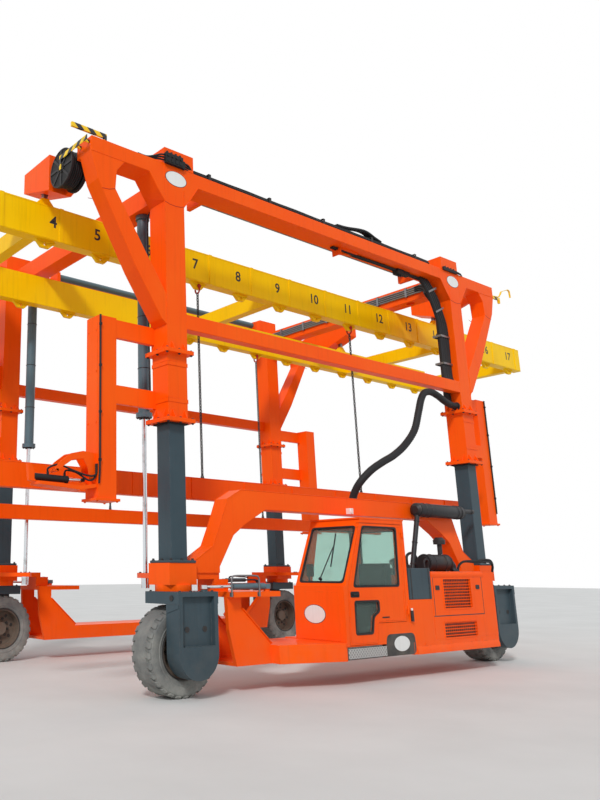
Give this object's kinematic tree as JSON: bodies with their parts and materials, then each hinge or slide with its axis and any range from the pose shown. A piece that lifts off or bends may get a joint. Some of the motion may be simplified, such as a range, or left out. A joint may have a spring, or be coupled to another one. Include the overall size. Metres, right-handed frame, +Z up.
{
  "type": "straddle carrier",
  "caption": "Wheeled straddle carrier with side frames on steered wheels, a portal that slides up on masts, a lugged spreader with chains and lower beams, and a low side cab.",
  "frame": {"origin": "centre of the bounding box's base, on the ground", "axes": "+X along the machine from the left end of the picture to the right, +Y across it away from the cab side, +Z up"},
  "size_m": [14.67, 5.451, 6.6999],
  "materials": {
    "orange_paint": "gloss",
    "slate_paint": "satin",
    "yellow_paint": "gloss",
    "black_paint": "satin",
    "tyre_rubber": "matt",
    "rim_paint": "dusty",
    "dark_steel": "oily",
    "chrome_rod": "polished",
    "bare_steel": "worn",
    "hose_rubber": "matt",
    "cab_pane": "clear",
    "cab_trim": "matt",
    "lamp_white": "gloss"
  },
  "bodies": {
    "near_chassis": {"near_masts": "slate_paint", "near_feet": "orange_paint", "chassis_arch": "orange_paint", "chassis_sill": "orange_paint", "step_plates": "black_paint", "cab_shell": "orange_paint", "cab_glass": "cab_pane", "cab_interior": "cab_trim", "engine_cover": "orange_paint", "engine_block": "dark_steel", "exhaust": "dark_steel", "fluid_tank": "slate_paint", "work_lamp": "lamp_white", "near_lift_rod": "chrome_rod", "free_hose": "hose_rubber"},
    "door": {"cab_door": "orange_paint", "door_glass": "cab_pane"},
    "far_chassis": {"far_masts": "slate_paint", "far_frame": "orange_paint", "far_lift_rod": "chrome_rod"},
    "upper_frame": {"upper_masts": "orange_paint", "top_beams": "orange_paint", "tie_beams": "orange_paint", "posts": "orange_paint", "cross_beams": "orange_paint", "cylinder_barrels": "slate_paint", "hose_gear": "hose_rubber", "reel_guards": "yellow_paint", "hoist_chains": "bare_steel"},
    "spreader": {"spreader_beams": "yellow_paint", "spreader_cross": "yellow_paint", "load_chains": "dark_steel", "lower_beams": "orange_paint"},
    "fork_nl": {"fork_nl": "slate_paint"},
    "wheel_nl": {"tyre_nl": "tyre_rubber", "rim_nl": "rim_paint"},
    "barrel_nl": {"steer_barrel_nl": "dark_steel"},
    "rod_nl": {"steer_rod_nl": "chrome_rod"},
    "fork_nr": {"fork_nr": "slate_paint"},
    "wheel_nr": {"tyre_nr": "tyre_rubber", "rim_nr": "rim_paint"},
    "barrel_nr": {"steer_barrel_nr": "dark_steel"},
    "rod_nr": {"steer_rod_nr": "chrome_rod"},
    "fork_fl": {"fork_fl": "slate_paint"},
    "wheel_fl": {"tyre_fl": "tyre_rubber", "rim_fl": "rim_paint"},
    "barrel_fl": {"steer_barrel_fl": "dark_steel"},
    "rod_fl": {"steer_rod_fl": "chrome_rod"},
    "fork_fr": {"fork_fr": "slate_paint"},
    "wheel_fr": {"tyre_fr": "tyre_rubber", "rim_fr": "rim_paint"},
    "barrel_fr": {"steer_barrel_fr": "dark_steel"},
    "rod_fr": {"steer_rod_fr": "chrome_rod"}
  },
  "joints": [
    {"name": "mast_lift", "type": "slide", "parent": "near_chassis", "child": "upper_frame", "axis": [0, 0, 1], "range_m": [-1.4, 0.4], "deforming": ["free_hose"]},
    {"name": "far_mast_lift", "type": "slide", "parent": "upper_frame", "child": "far_chassis", "axis": [0, 0, 1], "range_m": [-0.4, 1.4]},
    {"name": "hoist", "type": "slide", "parent": "upper_frame", "child": "spreader", "axis": [0, 0, -1], "range_m": [0, 1.9], "deforming": ["hoist_chains"]},
    {"name": "door_hinge", "type": "hinge", "parent": "near_chassis", "child": "door", "pos_m": [0.223, -2.7155, 1.2], "axis": [0, 0, 1], "range_deg": [0, 80]},
    {"name": "steer_nl", "type": "hinge", "parent": "near_chassis", "child": "fork_nl", "pos_m": [-3.145, -2.0045, 1.1], "axis": [0, 0, 1], "range_deg": [-30, 30]},
    {"name": "roll_nl", "type": "hinge", "parent": "fork_nl", "child": "wheel_nl", "pos_m": [-3.145, -2.0045, 0.49], "axis": [0, 1, 0], "continuous": true},
    {"name": "cylinder_swing_nl", "type": "hinge", "parent": "near_chassis", "child": "barrel_nl", "pos_m": [-2.015, -2.3645, 1.178], "axis": [0, 0, 1], "range_deg": [-7.4, 7.4]},
    {"name": "cylinder_rod_nl", "type": "slide", "parent": "barrel_nl", "child": "rod_nl", "axis": [-0.9991, 0.0421, 0], "range_m": [-0.154, 0.154]},
    {"name": "steer_nr", "type": "hinge", "parent": "near_chassis", "child": "fork_nr", "pos_m": [3.145, -2.0045, 1.1], "axis": [0, 0, 1], "range_deg": [-30, 30]},
    {"name": "roll_nr", "type": "hinge", "parent": "fork_nr", "child": "wheel_nr", "pos_m": [3.145, -2.0045, 0.49], "axis": [0, 1, 0], "continuous": true},
    {"name": "cylinder_swing_nr", "type": "hinge", "parent": "near_chassis", "child": "barrel_nr", "pos_m": [2.015, -2.3645, 1.178], "axis": [0, 0, 1], "range_deg": [-7.4, 7.4]},
    {"name": "cylinder_rod_nr", "type": "slide", "parent": "barrel_nr", "child": "rod_nr", "axis": [0.9991, 0.0421, 0], "range_m": [-0.154, 0.154]},
    {"name": "steer_fl", "type": "hinge", "parent": "far_chassis", "child": "fork_fl", "pos_m": [-3.145, 2.2955, 1.1], "axis": [0, 0, 1], "range_deg": [-30, 30]},
    {"name": "roll_fl", "type": "hinge", "parent": "fork_fl", "child": "wheel_fl", "pos_m": [-3.145, 2.2955, 0.49], "axis": [0, 1, 0], "continuous": true},
    {"name": "cylinder_swing_fl", "type": "hinge", "parent": "far_chassis", "child": "barrel_fl", "pos_m": [-2.015, 2.6555, 1.178], "axis": [0, 0, 1], "range_deg": [-7.4, 7.4]},
    {"name": "cylinder_rod_fl", "type": "slide", "parent": "barrel_fl", "child": "rod_fl", "axis": [-0.9991, -0.0421, 0], "range_m": [-0.154, 0.154]},
    {"name": "steer_fr", "type": "hinge", "parent": "far_chassis", "child": "fork_fr", "pos_m": [3.145, 2.2955, 1.1], "axis": [0, 0, 1], "range_deg": [-30, 30]},
    {"name": "roll_fr", "type": "hinge", "parent": "fork_fr", "child": "wheel_fr", "pos_m": [3.145, 2.2955, 0.49], "axis": [0, 1, 0], "continuous": true},
    {"name": "cylinder_swing_fr", "type": "hinge", "parent": "far_chassis", "child": "barrel_fr", "pos_m": [2.015, 2.6555, 1.178], "axis": [0, 0, 1], "range_deg": [-7.4, 7.4]},
    {"name": "cylinder_rod_fr", "type": "slide", "parent": "barrel_fr", "child": "rod_fr", "axis": [0.9991, -0.0421, 0], "range_m": [-0.154, 0.154]}
  ],
  "couplings": [
    {"joint": "far_mast_lift", "follows": "mast_lift", "ratio": -1},
    {"joint": "cylinder_swing_nl", "follows": "steer_nl", "ratio": -0.18},
    {"joint": "cylinder_rod_nl", "follows": "steer_nl", "m_per_rad": -0.275},
    {"joint": "cylinder_swing_nr", "follows": "steer_nr", "ratio": -0.18},
    {"joint": "cylinder_rod_nr", "follows": "steer_nr", "m_per_rad": 0.275},
    {"joint": "cylinder_swing_fl", "follows": "steer_fl", "ratio": -0.18},
    {"joint": "cylinder_rod_fl", "follows": "steer_fl", "m_per_rad": 0.275},
    {"joint": "cylinder_swing_fr", "follows": "steer_fr", "ratio": -0.18},
    {"joint": "cylinder_rod_fr", "follows": "steer_fr", "m_per_rad": -0.275}
  ]
}
